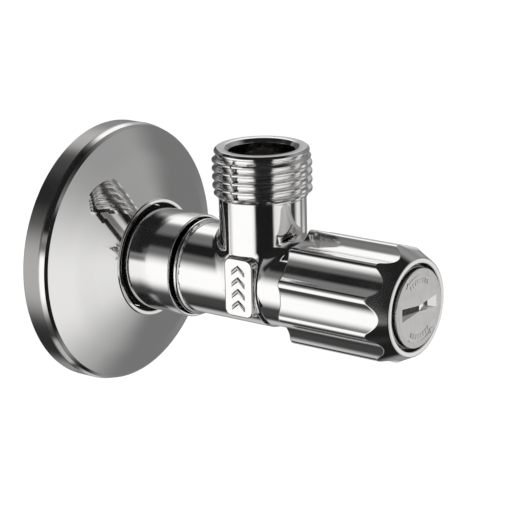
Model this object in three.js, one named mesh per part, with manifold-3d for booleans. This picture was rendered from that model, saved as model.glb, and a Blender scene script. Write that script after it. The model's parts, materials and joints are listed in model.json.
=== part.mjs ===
// Angle stop valve with a G 1/2 male outlet, a fluted knob, an outer sleeve and a sliding escutcheon.
// Millimetres, +Z up. The barrel lies along the Y axis: the wall is the plane Y = 0, the knob points
// to -Y and the inlet thread reaches into the wall. The outlet stands up at OUTLET_FROM_WALL.
// Outlines of turned pieces are closed loops of [distance, radius] pairs. On the barrel the distance
// runs from the wall towards the knob; on the outlet it runs up from the barrel's axis.
import * as THREE from 'three';
import { mergeVertices } from 'three/addons/utils/BufferGeometryUtils.js';
import { ConvexGeometry } from 'three/addons/geometries/ConvexGeometry.js';
import Module from 'manifold-3d';

// Clearances and fineness
const GAP = 0.3;            // between pieces that touch on the real valve
const FACE_GAP = 0.15;      // between flat faces that rest on each other
const ROUND = 32;           // sides of a large turned piece
const SMALL_ROUND = 20;     // sides of a small turned piece
const TURN_STEPS = 16;      // steps in a turn of a screw thread
const SHORTEST_EDGE = 0.01; // anything shorter is left out of a finished solid
const THREAD_START = 0.1;   // radians that keep a thread's columns off the corners of its neighbours

// G 1/2 pipe thread, outlet and inlet
const PIPE_THREAD = { major: 10.48, depth: 1.162, pitch: 1.814 };

// Body
const OUTLET_FROM_WALL = 42.5;
const OUTLET_TOP = 28.6;
const OUTLET_THREAD_FOOT = 18.1;
const OUTLET_THREAD_TOP = 27.6;
const OUTLET_RIM_RADIUS = 10;
const OUTLET_RIM_FOOT = 27.35;
const OUTLET_BORE = 7.05;
const OUTLET_BORE_MOUTH = 7.9;
const OUTLET_WATERWAY = 5.4;
const NECK_RADIUS = 9.2;
const BARREL_RADIUS = 9.75;
const NOSE_RADIUS = 9.3;
const NOSE_FROM_WALL = 47;
const BODY_END = 56;
const COLLAR_RADIUS = 10.3;
const BEAD = { from: 26.2, to: 27.4, radius: 10.45 };  // round stop in front of the sleeve
const INLET_END = -15;
const INLET_THREAD_FOOT = -2;
const INLET_BORE = 6.5;
const SEAT_FACE = 34.5;
const SEAT_OPENING = 5;
const SEAT_LIP_RADIUS = 6.2;
const CHAMBER_RADIUS = 8;
const HEADWORK_HOLE = 8.2;
const HEADWORK_FROM_WALL = 48.4;

// Raised panel on the barrel's -X side, with chevrons that point to the outlet
const PANEL = { face: 10.5, width: 7.2, height: 12.6, corner: 1.6, fromWall: 43.5, middle: 0.6 };
const CHEVRON = { count: 4, pitch: 2.5, width: 3.4, rise: 1.3, stroke: 0.9, proud: 0.25 };

// Sleeve and escutcheon
const SLEEVE = { from: 1, to: 25.25, outside: 11.15, inside: 10.6 };
const PLATE_RIM = 28.6;
const PLATE_BEAD = 28.3;
const PLATE_FACE_EDGE = 27.1;
const PLATE_HOLE = 12.4;
const PLATE_LIP = 13.3;     // the lip's distance from the wall
const PLATE_SHEET = 1;

// Headwork: bonnet, spindle and plunger
const HEADWORK_THREAD = { major: 7.9, depth: 0.77, pitch: 1.25 };
const DRIVE_THREAD = { major: 3.3, depth: 0.8, pitch: 1.5 };
const BONNET_HEX_FLATS = 16.5;
const GUIDE_HEX_FLATS = 9.6;
const PLUNGER_BORE_IN_BONNET = 5.9;
const SPINDLE_BORE = 3.25;
const SPINDLE_JOURNAL = 3.05;
const SPINDLE_COLLAR = { from: 63.6, to: 65.1, radius: 4.6 };
const SPINDLE_END = 76.6;
const SPLINE = { teeth: 12, root: 2.65, crest: 3.05 };
const O_RING_GROOVES = [67.55, 69.4];

// Knob and what is inside it
const KNOB_BACK = 54.6;
const KNOB_RADIUS = 12.6;
const KNOB_CONE_FROM = 75.8;
const KNOB_RIM = 80.7;
const KNOB_RIM_RADIUS = 10.2;
const KNOB_CAVITY = 10.2;
const KNOB_WEB = { from: 73.4, to: 75.6, hexFlats: 9.2 };
const KNOB_RECESS = 9.1;
const FLUTES = { count: 10, bottom: 11.2, landDegrees: 4.6 };
const CAP = { face: 81.35, back: 79.9, radius: 8.4, skirt: 8.5, skirtFrom: 77.2 };
const SLOT_RAMPS = { reach: 6.3, endWidth: 2.7, waistWidth: 1.1, depth: 1.1 };

const finish = (color, metalness, roughness) => ({ color, metalness, roughness });
const CHROME = finish(0xd9dbde, 1, 0.07);
const SOFT_CHROME = finish(0xc9cbce, 1, 0.22);
const SATIN_SILVER = finish(0xc4c6c8, 0.9, 0.38);
const BRASS = finish(0xc8a24b, 1, 0.3);
const STEEL = finish(0xa9acb0, 1, 0.35);
const RUBBER = finish(0x161616, 0, 0.75);
const SEAL_WHITE = finish(0xeeeeea, 0, 0.5);
const HUB_PLASTIC = finish(0xe2ddcf, 0, 0.45);

const wasm = await Module();
wasm.setup();

const ALONG_BARREL = new THREE.Matrix4().makeRotationX(Math.PI);
const UP_OUTLET = new THREE.Matrix4().makeRotationX(Math.PI / 2).setPosition(0, -OUTLET_FROM_WALL, 0);

// The closed solid that a geometry bounds, ready to be joined and cut.
function toSolid(geometry, place = new THREE.Matrix4()) {
  const bare = geometry.clone().applyMatrix4(place);
  bare.deleteAttribute('normal');
  bare.deleteAttribute('uv');
  const merged = mergeVertices(bare, 1e-4);
  const index = merged.index.array;
  const triangles = [];
  for (let i = 0; i < index.length; i += 3) {
    const [a, b, c] = index.slice(i, i + 3);
    if (a !== b && b !== c && c !== a) triangles.push(a, b, c);
  }
  return new wasm.Manifold(new wasm.Mesh({
    numProp: 3,
    vertProperties: new Float32Array(merged.attributes.position.array),
    triVerts: new Uint32Array(triangles),
  }));
}

// The geometry of a finished solid, without edges too short to matter.
function toGeometry(solid) {
  const { vertProperties, triVerts } = solid.simplify(SHORTEST_EDGE).getMesh();
  const geometry = new THREE.BufferGeometry();
  geometry.setAttribute('position', new THREE.BufferAttribute(vertProperties, 3));
  geometry.setIndex(new THREE.BufferAttribute(triVerts, 1));
  geometry.computeVertexNormals();
  return geometry;
}

// A solid of revolution from a closed outline of [distance, radius] pairs.
function turned(outline, { axis = ALONG_BARREL, sides = ROUND } = {}) {
  const loop = outline.map(([distance, radius]) => new THREE.Vector2(radius, distance));
  if (THREE.ShapeUtils.isClockWise(loop)) loop.reverse();
  loop.push(loop[0].clone());
  return toSolid(new THREE.LatheGeometry(loop, sides), axis);
}

// A plain ring or, with no inside radius, a disc.
function ring(from, to, outside, inside = 0, options = {}) {
  return turned([[from, inside], [from, outside], [to, outside], [to, inside]], options);
}

// A prism along the barrel: the shape lies in the X-Z plane and runs between two distances.
function prism(shape, from, to, curveSegments = 3) {
  const options = { depth: to - from, bevelEnabled: false, curveSegments };
  const geometry = new THREE.ExtrudeGeometry(shape, options);
  geometry.translate(0, 0, from);
  return toSolid(geometry.rotateX(Math.PI / 2));
}

function hexagon(flats) {
  const corner = flats / Math.sqrt(3);
  const corners = Array.from({ length: 6 }, (_, i) => {
    const angle = (i + 0.5) * Math.PI / 3;
    return new THREE.Vector2(corner * Math.cos(angle), corner * Math.sin(angle));
  });
  return new THREE.Shape(corners);
}

// A rod with a male thread between two distances, cut back in a cone at each end. It is a turned
// zigzag whose columns are shifted evenly, so that each turn of the zigzag meets the next one.
// hand is 1 for a right-hand thread and -1 for a left-hand one.
function threadedRod({ major, depth, pitch }, from, to, options = {}) {
  const { axis = ALONG_BARREL, hand = 1, steps = TURN_STEPS } = options;
  const core = major - depth;
  const start = hand > 0 ? from - pitch : from;
  const windings = Math.ceil((to - from) / pitch) + 2;
  const outline = [new THREE.Vector2(0, from)];
  for (let i = 0; i < windings; i += 1) {
    for (const [part, radius] of [[-1, major], [1, major], [5, core], [7, core]]) {
      outline.push(new THREE.Vector2(radius, start + pitch * (i + part / 12)));
    }
  }
  outline.push(new THREE.Vector2(0, to));
  const rod = new THREE.LatheGeometry(outline, steps, THREAD_START);
  const position = rod.attributes.position;
  for (let i = 0; i < position.count; i += 1) {
    const radius = Math.hypot(position.getX(i), position.getZ(i));
    if (radius < core / 2) continue;
    const column = Math.floor(i / outline.length);
    const shifted = position.getY(i) + hand * pitch * column / steps;
    const distance = THREE.MathUtils.clamp(shifted, from, to);
    const cutBack = core + Math.min(distance - from, to - distance);
    const scale = Math.min(radius, cutBack) / radius;
    position.setXYZ(i, scale * position.getX(i), distance, scale * position.getZ(i));
  }
  return toSolid(rod, axis);
}

// An O-ring round the barrel's axis.
function oRing(distance, middleRadius, cordRadius, sides = SMALL_ROUND) {
  const cordSides = 6;
  const outline = Array.from({ length: cordSides }, (_, i) => {
    const angle = 2 * Math.PI * i / cordSides;
    return [distance + cordRadius * Math.cos(angle), middleRadius + cordRadius * Math.sin(angle)];
  });
  return turned(outline, { sides });
}

// A rounded rectangle about the origin.
function roundedRectangle(width, height, corner) {
  const x = width / 2;
  const y = height / 2;
  const shape = new THREE.Shape();
  shape.moveTo(-x + corner, -y);
  shape.absarc(x - corner, -y + corner, corner, -Math.PI / 2, 0);
  shape.absarc(x - corner, y - corner, corner, 0, Math.PI / 2);
  shape.absarc(-x + corner, y - corner, corner, Math.PI / 2, Math.PI);
  shape.absarc(-x + corner, -y + corner, corner, Math.PI, 1.5 * Math.PI);
  return shape;
}

// A pad on the barrel's -X side: the shape's x is height and its y runs towards the wall.
function sidePad(shape, innerFace, outerFace, fromWall, middle) {
  const geometry = new THREE.ExtrudeGeometry(shape, {
    depth: outerFace - innerFace,
    bevelEnabled: false,
    curveSegments: 3,
  });
  geometry.translate(middle, -fromWall, innerFace);
  return toSolid(geometry.rotateY(-Math.PI / 2));
}

function chevron() {
  const half = CHEVRON.width / 2;
  return new THREE.Shape([
    new THREE.Vector2(0, -half),
    new THREE.Vector2(CHEVRON.stroke, -half),
    new THREE.Vector2(CHEVRON.stroke + CHEVRON.rise, 0),
    new THREE.Vector2(CHEVRON.stroke, half),
    new THREE.Vector2(0, half),
    new THREE.Vector2(CHEVRON.rise, 0),
  ]);
}

function labelPanel() {
  const plate = roundedRectangle(PANEL.height, PANEL.width, PANEL.corner);
  let panel = sidePad(plate, PANEL.face - 2.2, PANEL.face, PANEL.fromWall, PANEL.middle);
  const column = (CHEVRON.count - 1) * CHEVRON.pitch + CHEVRON.rise + CHEVRON.stroke;
  for (let i = 0; i < CHEVRON.count; i += 1) {
    const foot = PANEL.middle - column / 2 + i * CHEVRON.pitch;
    const raised = PANEL.face + CHEVRON.proud;
    panel = panel.add(sidePad(chevron(), PANEL.face - 1, raised, PANEL.fromWall, foot));
  }
  return panel;
}

function barrelOutside() {
  const core = PIPE_THREAD.major - PIPE_THREAD.depth;
  return turned([
    [INLET_THREAD_FOOT - 1, 0],
    [INLET_THREAD_FOOT - 1, core - 1],
    [INLET_THREAD_FOOT, core - 1],
    [INLET_THREAD_FOOT, core - GAP],
    [GAP, core - GAP],
    [GAP, COLLAR_RADIUS],
    [4, COLLAR_RADIUS],
    [4.6, core],
    [12, core],
    [12.6, COLLAR_RADIUS],
    [20, COLLAR_RADIUS],
    [20.5, BARREL_RADIUS],
    [BEAD.from, BARREL_RADIUS],
    [BEAD.from + 0.3, BEAD.radius - 0.15],
    [(BEAD.from + BEAD.to) / 2, BEAD.radius],
    [BEAD.to - 0.3, BEAD.radius - 0.15],
    [BEAD.to, BARREL_RADIUS],
    [NOSE_FROM_WALL - 0.4, BARREL_RADIUS],
    [NOSE_FROM_WALL + 0.2, NOSE_RADIUS],
    [BODY_END - 0.4, NOSE_RADIUS],
    [BODY_END, NOSE_RADIUS - 0.4],
    [BODY_END, 0],
  ]);
}

function outletOutside() {
  const core = PIPE_THREAD.major - PIPE_THREAD.depth;
  return turned([
    [0, 0],
    [0, NECK_RADIUS],
    [OUTLET_THREAD_FOOT, NECK_RADIUS],
    [OUTLET_THREAD_FOOT, core - 1],
    [OUTLET_THREAD_TOP - 0.8, core - 1],
    [OUTLET_THREAD_TOP - 0.8, core],
    [OUTLET_RIM_FOOT, core],
    [OUTLET_RIM_FOOT + 0.3, OUTLET_RIM_RADIUS],
    [OUTLET_TOP - 0.5, OUTLET_RIM_RADIUS],
    [OUTLET_TOP, OUTLET_RIM_RADIUS - 0.5],
    [OUTLET_TOP, 0],
  ], { axis: UP_OUTLET });
}

// Inlet bore, seat opening with its raised lip, chamber and the hole for the headwork.
function barrelWaterway() {
  return turned([
    [INLET_END - 1, 0],
    [INLET_END - 1, INLET_BORE],
    [28, INLET_BORE],
    [29.5, SEAT_OPENING],
    [SEAT_FACE, SEAT_OPENING],
    [SEAT_FACE, SEAT_LIP_RADIUS],
    [SEAT_FACE - 1, SEAT_LIP_RADIUS + 0.3],
    [SEAT_FACE - 1, CHAMBER_RADIUS],
    [HEADWORK_FROM_WALL - GAP, CHAMBER_RADIUS],
    [HEADWORK_FROM_WALL - GAP, HEADWORK_HOLE],
    [BODY_END + 1, HEADWORK_HOLE],
    [BODY_END + 1, 0],
  ]);
}

function outletWaterway() {
  const countersink = OUTLET_BORE_MOUTH - OUTLET_BORE;
  return turned([
    [0, 0],
    [0, OUTLET_WATERWAY],
    [14.8, OUTLET_WATERWAY],
    [16.2, OUTLET_BORE],
    [OUTLET_TOP - countersink, OUTLET_BORE],
    [OUTLET_TOP + 1, OUTLET_BORE_MOUTH + 1],
    [OUTLET_TOP + 1, 0],
  ], { axis: UP_OUTLET });
}

function valveBody() {
  return barrelOutside()
    .add(outletOutside())
    .add(threadedRod(PIPE_THREAD, INLET_END, INLET_THREAD_FOOT))
    .add(threadedRod(PIPE_THREAD, OUTLET_THREAD_FOOT, OUTLET_THREAD_TOP, { axis: UP_OUTLET }))
    .add(labelPanel())
    .subtract(barrelWaterway())
    .subtract(outletWaterway());
}

function inletSealRing() {
  const inside = PIPE_THREAD.major - PIPE_THREAD.depth;
  return ring(INLET_THREAD_FOOT + FACE_GAP, GAP - FACE_GAP, inside + 1.4, inside);
}

function inletSleeve() {
  return turned([
    [SLEEVE.from, SLEEVE.inside],
    [SLEEVE.from, SLEEVE.outside],
    [SLEEVE.to - 0.4, SLEEVE.outside],
    [SLEEVE.to, SLEEVE.outside - 0.35],
    [SLEEVE.to, SLEEVE.inside],
  ]);
}

// A pressed sheet: rim, rolled bead, low dome and a lip that turns back into the hole.
function escutcheon() {
  const domeHeight = 0.45;
  const domeFoot = [6.9, PLATE_FACE_EDGE - 0.2];
  const domeTop = [12.4, 14.2];
  const dome = [0.33, 0.67].map((t) => [
    THREE.MathUtils.lerp(domeFoot[0], domeTop[0], t) + domeHeight * Math.sin(Math.PI * t),
    THREE.MathUtils.lerp(domeFoot[1], domeTop[1], t),
  ]);
  const front = [
    [0, PLATE_RIM],
    [5, PLATE_BEAD],
    [5.5, PLATE_BEAD - 0.25],
    [5.8, PLATE_BEAD - 0.9],
    [6.4, PLATE_FACE_EDGE + 0.2],
    domeFoot,
    ...dome,
    domeTop,
    [PLATE_LIP - 0.3, PLATE_HOLE + 0.55],
    [PLATE_LIP, PLATE_HOLE + 0.4],
    [PLATE_LIP, PLATE_HOLE],
    [9.4, PLATE_HOLE],
  ];
  const back = [
    [9.4, PLATE_HOLE + PLATE_SHEET],
    [domeTop[0] - PLATE_SHEET, domeTop[1] - 0.3],
    ...dome.map(([distance, radius]) => [distance - PLATE_SHEET, radius]).reverse(),
    [domeFoot[0] - PLATE_SHEET, domeFoot[1] - 0.5],
    [4.6, PLATE_BEAD - PLATE_SHEET],
    [0, PLATE_RIM - PLATE_SHEET],
  ];
  return turned([...front, ...back], { sides: 48 });
}

function escutcheonGripRing() {
  return turned([
    [9.8, SLEEVE.outside + 0.2],
    [9.8, PLATE_HOLE - 0.2],
    [12.1, PLATE_HOLE - 0.2],
    [11.8, SLEEVE.outside + 0.2],
  ]);
}

function headworkBonnet() {
  const core = HEADWORK_THREAD.major - HEADWORK_THREAD.depth;
  const flange = prism(hexagon(BONNET_HEX_FLATS), BODY_END + 1, 61.5)
    .intersect(turned([
      [BODY_END + 1, 0],
      [BODY_END + 1, 9.6],
      [60.8, 9.6],
      [61.5, 8.4],
      [61.5, 0],
    ]));
  return turned([
    [BODY_END - 1, 0],
    [BODY_END - 1, core - 0.5],
    [BODY_END + 1.5, core - 0.5],
    [66.9, core - 0.5],
    [68, 5.4],
    [70.5, 5.1],
    [70.5, 0],
  ])
    .add(flange)
    .add(threadedRod(HEADWORK_THREAD, HEADWORK_FROM_WALL, BODY_END - 0.3))
    .subtract(ring(HEADWORK_FROM_WALL - 1, BODY_END, PLUNGER_BORE_IN_BONNET))
    .subtract(prism(hexagon(GUIDE_HEX_FLATS), BODY_END - 1, 63))
    .subtract(ring(62.8, 66.1, SPINDLE_COLLAR.radius + GAP, 0, { sides: SMALL_ROUND }))
    .subtract(ring(66, 71, SPINDLE_BORE, 0, { sides: SMALL_ROUND }));
}

function bonnetSeal() {
  return ring(BODY_END + FACE_GAP, BODY_END + 1 - FACE_GAP, 9, HEADWORK_THREAD.major - 0.4);
}

function thrustWasher() {
  const from = SPINDLE_COLLAR.to + FACE_GAP;
  return ring(from, 66.1 - FACE_GAP, 4.7, SPINDLE_BORE, { sides: SMALL_ROUND });
}

// The outline of a splined shaft or hole, with its teeth's crests and roots moved out by clearance.
function splineShape(clearance = 0) {
  const { teeth, root, crest } = SPLINE;
  const tooth = [[-0.3, root], [-0.15, crest], [0.15, crest], [0.3, root]];
  const points = [];
  for (let i = 0; i < teeth; i += 1) {
    for (const [part, radius] of tooth) {
      const angle = 2 * Math.PI * (i + part) / teeth;
      const reach = radius + clearance;
      points.push(new THREE.Vector2(reach * Math.cos(angle), reach * Math.sin(angle)));
    }
  }
  return new THREE.Shape(points);
}

function spindle() {
  const core = DRIVE_THREAD.major - DRIVE_THREAD.depth;
  const [firstGroove, lastGroove] = O_RING_GROOVES;
  const grooveHalf = 0.62;
  const grooveRadius = 2.15;
  const groove = (middle) => [
    [middle - grooveHalf, SPINDLE_JOURNAL],
    [middle - grooveHalf, grooveRadius],
    [middle + grooveHalf, grooveRadius],
    [middle + grooveHalf, SPINDLE_JOURNAL],
  ];
  return turned([
    [61.5, 0],
    [61.5, core - 0.3],
    [SPINDLE_COLLAR.from, core - 0.3],
    [SPINDLE_COLLAR.from, SPINDLE_COLLAR.radius],
    [SPINDLE_COLLAR.to, SPINDLE_COLLAR.radius],
    [SPINDLE_COLLAR.to, SPINDLE_JOURNAL],
    ...groove(firstGroove),
    ...groove(lastGroove),
    [70.75, SPINDLE_JOURNAL],
    [70.75, 2.5],
    [71.55, 2.5],
    [71.55, SPINDLE_JOURNAL],
    [72, SPINDLE_JOURNAL],
    [72, 0],
  ], { sides: SMALL_ROUND })
    .add(threadedRod(DRIVE_THREAD, 50.5, 62.4, { hand: -1, steps: 12 }))
    .add(prism(splineShape(), 71.9, SPINDLE_END))
    .subtract(ring(71, SPINDLE_END + 1, 1.7, 0, { sides: 16 }));
}

// An open ring round the barrel's axis, with its ends apart by an angle.
function openRing(from, to, outside, inside, opening) {
  const start = Math.PI / 2 + opening / 2;
  const end = Math.PI / 2 - opening / 2 + 2 * Math.PI;
  const shape = new THREE.Shape();
  shape.absarc(0, 0, outside, start, end, false);
  shape.absarc(0, 0, inside, end, start, true);
  return prism(shape, from, to, 10);
}

// The plunger slides in the bonnet's hexagon, so the left-hand drive thread moves it to and fro.
function plunger() {
  return turned([
    [38.2, 0],
    [38.2, 7],
    [36.6, 7],
    [36.6, 7.4],
    [39.6, 7.4],
    [41.2, 5.6],
    [49.55, 5.6],
    [49.55, 4.4],
    [51.25, 4.4],
    [51.25, 5.6],
    [52, 5.6],
    [52, 0],
  ])
    .add(prism(hexagon(GUIDE_HEX_FLATS - 2 * GAP), 51.8, 59))
    .subtract(ring(44, 60, DRIVE_THREAD.major + GAP, 0, { sides: SMALL_ROUND }))
    .subtract(ring(38, 42.5, 1.9, 0, { sides: 16 }));
}

function seatWasher() {
  return ring(SEAT_FACE + FACE_GAP, 38.2 - FACE_GAP, 6.8, 2.1);
}

function washerScrew() {
  const slot = new THREE.BoxGeometry(8, 0.8, 0.8);
  slot.translate(0, -33.2, 0);
  return ring(33.2, SEAT_FACE, 3.4, 0, { sides: SMALL_ROUND })
    .add(ring(SEAT_FACE - 0.2, 42.2, 1.6, 0, { sides: 16 }))
    .subtract(toSolid(slot));
}

// Knob section: shallow round flutes between narrow lands.
function flutedShape() {
  const flutePitch = 2 * Math.PI / FLUTES.count;
  const halfFlute = (flutePitch - THREE.MathUtils.degToRad(FLUTES.landDegrees)) / 2;
  const halfWidth = KNOB_RADIUS * Math.sin(halfFlute);
  const depth = KNOB_RADIUS * Math.cos(halfFlute) - FLUTES.bottom;
  const radius = (halfWidth ** 2 + depth ** 2) / (2 * depth);
  const centre = FLUTES.bottom + radius;
  const halfArc = Math.asin(halfWidth / radius);
  const shape = new THREE.Shape();
  for (let i = 0; i < FLUTES.count; i += 1) {
    const angle = i * flutePitch;
    const x = centre * Math.cos(angle);
    const y = centre * Math.sin(angle);
    const inward = angle + Math.PI;
    shape.absarc(x, y, radius, inward + halfArc, inward - halfArc, true);
  }
  return shape;
}

function handle() {
  const coneSlope = (KNOB_RADIUS - KNOB_RIM_RADIUS) / (KNOB_RIM - KNOB_CONE_FROM);
  const clear = 0.2;
  const envelope = turned([
    [KNOB_BACK, 0],
    [KNOB_BACK, KNOB_RADIUS - 0.4],
    [KNOB_BACK + 0.4 + clear, KNOB_RADIUS + clear],
    [KNOB_CONE_FROM - clear / coneSlope, KNOB_RADIUS + clear],
    [KNOB_RIM, KNOB_RIM_RADIUS],
    [KNOB_RIM, 0],
  ], { sides: 48 });
  return prism(flutedShape(), KNOB_BACK, KNOB_RIM)
    .intersect(envelope)
    .subtract(ring(KNOB_BACK - 1, KNOB_WEB.from, KNOB_CAVITY))
    .subtract(ring(KNOB_WEB.to, KNOB_RIM + 1, KNOB_RECESS))
    .subtract(prism(hexagon(KNOB_WEB.hexFlats), KNOB_WEB.from - 1, KNOB_WEB.to + 1));
}

function handleInsert() {
  const flangeFrom = KNOB_WEB.to + FACE_GAP;
  return prism(hexagon(KNOB_WEB.hexFlats - 2 * GAP), 72.2, flangeFrom + 0.2)
    .add(ring(flangeFrom, 76.9, 6.4))
    .subtract(prism(splineShape(GAP), 72, 77));
}

function handleScrew() {
  const recess = new THREE.BoxGeometry(4, 1.2, 0.9);
  recess.translate(0, -79.5, 0);
  const across = recess.clone().rotateY(Math.PI / 2);
  return turned([
    [71.4, 0],
    [71.4, 1.1],
    [71.8, 1.45],
    [77.85, 1.45],
    [77.85, 3.3],
    [79, 3.1],
    [79.5, 2.4],
    [79.5, 0],
  ], { sides: SMALL_ROUND })
    .subtract(toSolid(recess))
    .subtract(toSolid(across));
}

// One ramp of the cap's screwdriver recess: it widens and deepens away from the middle.
function slotRamp(side) {
  const above = CAP.face + 0.5;
  const floor = CAP.face - SLOT_RAMPS.depth;
  const corner = (reach, distance, height) => new THREE.Vector3(side * reach, -distance, height);
  const points = [];
  for (const half of [-0.5, 0.5]) {
    points.push(corner(-0.3, above, half * SLOT_RAMPS.waistWidth));
    points.push(corner(-0.3, CAP.face, half * SLOT_RAMPS.waistWidth));
    points.push(corner(SLOT_RAMPS.reach, above, half * SLOT_RAMPS.endWidth));
    points.push(corner(SLOT_RAMPS.reach, floor, half * SLOT_RAMPS.endWidth));
  }
  return toSolid(new ConvexGeometry(points));
}

function handleCap() {
  return turned([
    [CAP.back, 0],
    [CAP.back, CAP.skirt - 0.7],
    [CAP.skirtFrom, CAP.skirt - 0.7],
    [CAP.skirtFrom, CAP.skirt + 0.3],
    [CAP.skirtFrom + 0.6, CAP.skirt],
    [CAP.back, CAP.skirt],
    [CAP.back + 0.2, CAP.radius],
    [CAP.face - 0.25, CAP.radius],
    [CAP.face, CAP.radius - 0.25],
    [CAP.face, 0],
  ])
    .subtract(slotRamp(1))
    .subtract(slotRamp(-1));
}

// Names, solids and finishes of all the pieces
const pieces = [
  ['valve_body', valveBody(), CHROME],
  ['inlet_sleeve', inletSleeve(), CHROME],
  ['inlet_seal_ring', inletSealRing(), SEAL_WHITE],
  ['escutcheon', escutcheon(), SOFT_CHROME],
  ['escutcheon_grip_ring', escutcheonGripRing(), RUBBER],
  ['headwork_bonnet', headworkBonnet(), BRASS],
  ['bonnet_seal', bonnetSeal(), SEAL_WHITE],
  ['thrust_washer', thrustWasher(), SEAL_WHITE],
  ['spindle', spindle(), BRASS],
  ['spindle_o_ring_inner', oRing(O_RING_GROOVES[0], 2.72, 0.47), RUBBER],
  ['spindle_o_ring_outer', oRing(O_RING_GROOVES[1], 2.72, 0.47), RUBBER],
  ['spindle_circlip', openRing(70.85, 71.45, 4.3, 2.65, 0.9), STEEL],
  ['plunger', plunger(), BRASS],
  ['plunger_o_ring', oRing(50.4, 5.12, 0.65, ROUND), RUBBER],
  ['seat_washer', seatWasher(), RUBBER],
  ['washer_screw', washerScrew(), STEEL],
  ['handle', handle(), CHROME],
  ['handle_insert', handleInsert(), HUB_PLASTIC],
  ['lock_washer', openRing(77.05, 77.7, 3.6, 1.9, 0.35), STEEL],
  ['handle_screw', handleScrew(), STEEL],
  ['handle_cap', handleCap(), SATIN_SILVER],
];

const angleStopValve = new THREE.Group();
for (const [name, solid, look] of pieces) {
  const mesh = new THREE.Mesh(toGeometry(solid), new THREE.MeshStandardMaterial(look));
  mesh.name = name;
  angleStopValve.add(mesh);
}

export default angleStopValve;
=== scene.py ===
"""Looks of the angle stop valve: fine meshes, finishes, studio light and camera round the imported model.

Outlines and sizes are in millimetres. On the barrel a distance runs from the wall towards the knob, so it
is -Y of the row frame; on the outlet it runs up from the barrel's axis. Meshes are made in metres.
"""

import json
import math

import bmesh
import bpy
import numpy as np
from mathutils import Matrix, Vector


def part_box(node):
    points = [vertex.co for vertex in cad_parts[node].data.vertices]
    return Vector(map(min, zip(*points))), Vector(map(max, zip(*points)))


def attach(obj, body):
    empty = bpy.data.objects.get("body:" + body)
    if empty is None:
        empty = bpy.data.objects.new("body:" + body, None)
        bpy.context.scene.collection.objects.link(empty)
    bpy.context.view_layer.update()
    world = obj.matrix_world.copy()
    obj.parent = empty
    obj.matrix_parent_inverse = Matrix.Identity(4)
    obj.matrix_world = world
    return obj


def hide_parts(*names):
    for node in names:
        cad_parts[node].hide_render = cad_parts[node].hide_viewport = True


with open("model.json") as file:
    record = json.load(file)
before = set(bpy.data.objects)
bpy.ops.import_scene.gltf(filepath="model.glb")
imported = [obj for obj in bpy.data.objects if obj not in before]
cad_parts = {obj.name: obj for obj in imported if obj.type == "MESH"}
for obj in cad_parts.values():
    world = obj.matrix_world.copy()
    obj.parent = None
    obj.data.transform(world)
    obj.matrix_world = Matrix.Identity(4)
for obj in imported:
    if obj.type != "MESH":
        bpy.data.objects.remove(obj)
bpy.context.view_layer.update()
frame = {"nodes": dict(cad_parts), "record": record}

MM = 0.001


def along(node):
    """(nearest distance from the wall, furthest distance, largest radius) of a CAD node, in mm."""
    low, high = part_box(node)
    return -high.y / MM, -low.y / MM, high.z / MM


# Sizes that the CAD nodes give
OUTLET_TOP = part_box("valve_body")[1].z / MM
INLET_END, BODY_END, _ = along("valve_body")
SLEEVE_FROM, SLEEVE_TO, SLEEVE_RADIUS = along("inlet_sleeve")
PLATE_FROM, PLATE_LIP, PLATE_RIM = along("escutcheon")
KNOB_BACK, KNOB_RIM, KNOB_RADIUS = along("handle")
CAP_SKIRT_FROM, CAP_FACE, CAP_WIDEST = along("handle_cap")

# Body
OUTLET_FROM_WALL = 42.5
OUTLET_THREAD_FOOT = 18.1
NECK_RADIUS = 9.2
BARREL_RADIUS = 9.75
BARREL_FROM = 18
NOSE_RADIUS = 9.3
NOSE_FROM_WALL = 47
COLLAR_RADIUS = 10.3
COLLARS = ((0.3, 4.3), (12.3, 20.2))
BEAD = {"middle": 26.5, "radius": 9.85, "round": 0.62}
FILLETS = {"neck": 1.7, "barrel": 0.5, "bead": 0.2, "panel": 0.3}
PANEL = {"face": 10.5, "width": 7.2, "height": 12.6, "from_wall": 43.5, "middle": 0.6,
         "corner": 1.6, "edge": 0.35, "thickness": 5}
OUTLET_BORE = 7.05
OUTLET_MOUTH = 7.9
OUTLET_RIM = {"radius": 10, "height": 1.25}
LOWER_BORE = 5.4
INLET_THREAD_FOOT = -2
INLET_BORE = 6.5
SEAT = {"from": 29.5, "face": 34.5, "bore": 5, "lip": 6.2, "trough": 33.5}
CHAMBER = {"radius": 8, "hole": 8.2, "hole_from": 48.1}
BARE_OUTLET = (5, 14)
PIPE_THREAD = {"major": 10.48, "depth": 1.162, "pitch": 1.814, "steepness": 1.35}
NET_CELL = 0.3

# Plate
PLATE_SHEET = 1.0
PLATE_HOLE = 12.4
LIP_CURL = {"radius": 11.95, "length": 0.7}
GRIP_RING = {"from": 9.8, "to": 12.1, "outside": 12.2, "clear": 0.2}

# Knob
FLUTES = 10
FLUTE_BOTTOM = 11.2
FLUTE_SHARE = 0.93
LAND_DEGREES = 4.6
KNOB_CONE_FROM = 75.8
KNOB_RIM_RADIUS = 10.2
KNOB_CAVITY = 10.2
KNOB_RECESS = 9.1
KNOB_WEB = (73.4, 75.6)
KNOB_WEB_HEX = 9.2
CAP_BACK = 79.9
CAP_RADIUS = 8.3
CAP_SKIRT = {"wall": 1, "lip_height": 0.6, "lip_proud": 0.3}
SLOT_RAMPS = {"reach": 6.3, "overlap": 0.3, "end_width": 2.7, "waist_width": 1.1, "depth": 1.1,
              "end_slope": 1.6, "floor_share": 0.9}

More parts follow.
